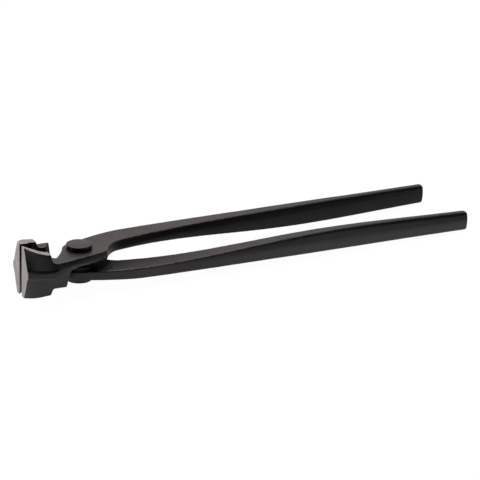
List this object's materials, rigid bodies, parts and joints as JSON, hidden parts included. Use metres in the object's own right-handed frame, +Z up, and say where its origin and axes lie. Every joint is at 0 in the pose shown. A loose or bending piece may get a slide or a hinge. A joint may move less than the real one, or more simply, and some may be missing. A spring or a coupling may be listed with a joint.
{
  "type": "concreters nippers",
  "caption": "Concreters' nippers: crossed forged steel levers on a flat-headed rivet, with broad end-cutting jaws, a round throat and long slim handles for twisting and cutting tie wire.",
  "frame": {"origin": "centre of the bounding box at its base, as the tool lies on a flat surface", "axes": "+X from the jaws to the handle ends, +Y from the lower lever's handle to the upper lever's handle, +Z up from the surface it lies on; the rivet's axis leans 1.9 degrees from +Z towards +X"},
  "size_m": [0.2998, 0.0626, 0.0326],
  "materials": {
    "forging": "forged, black oxide, with the jaw fronts ground",
    "rivet": "black oxide, satin"
  },
  "bodies": {
    "upper_half": {"upper_lever": "forging", "pivot_rivet": "rivet"},
    "lower_half": {"lower_lever": "forging"}
  },
  "joints": [
    {"name": "jaw_pivot", "type": "hinge", "parent": "upper_half", "child": "lower_half", "pos_m": [-0.1111, 0, 0.015], "axis": [-0.034, 0, -0.9994], "range_deg": [-4.8, 76]}
  ]
}
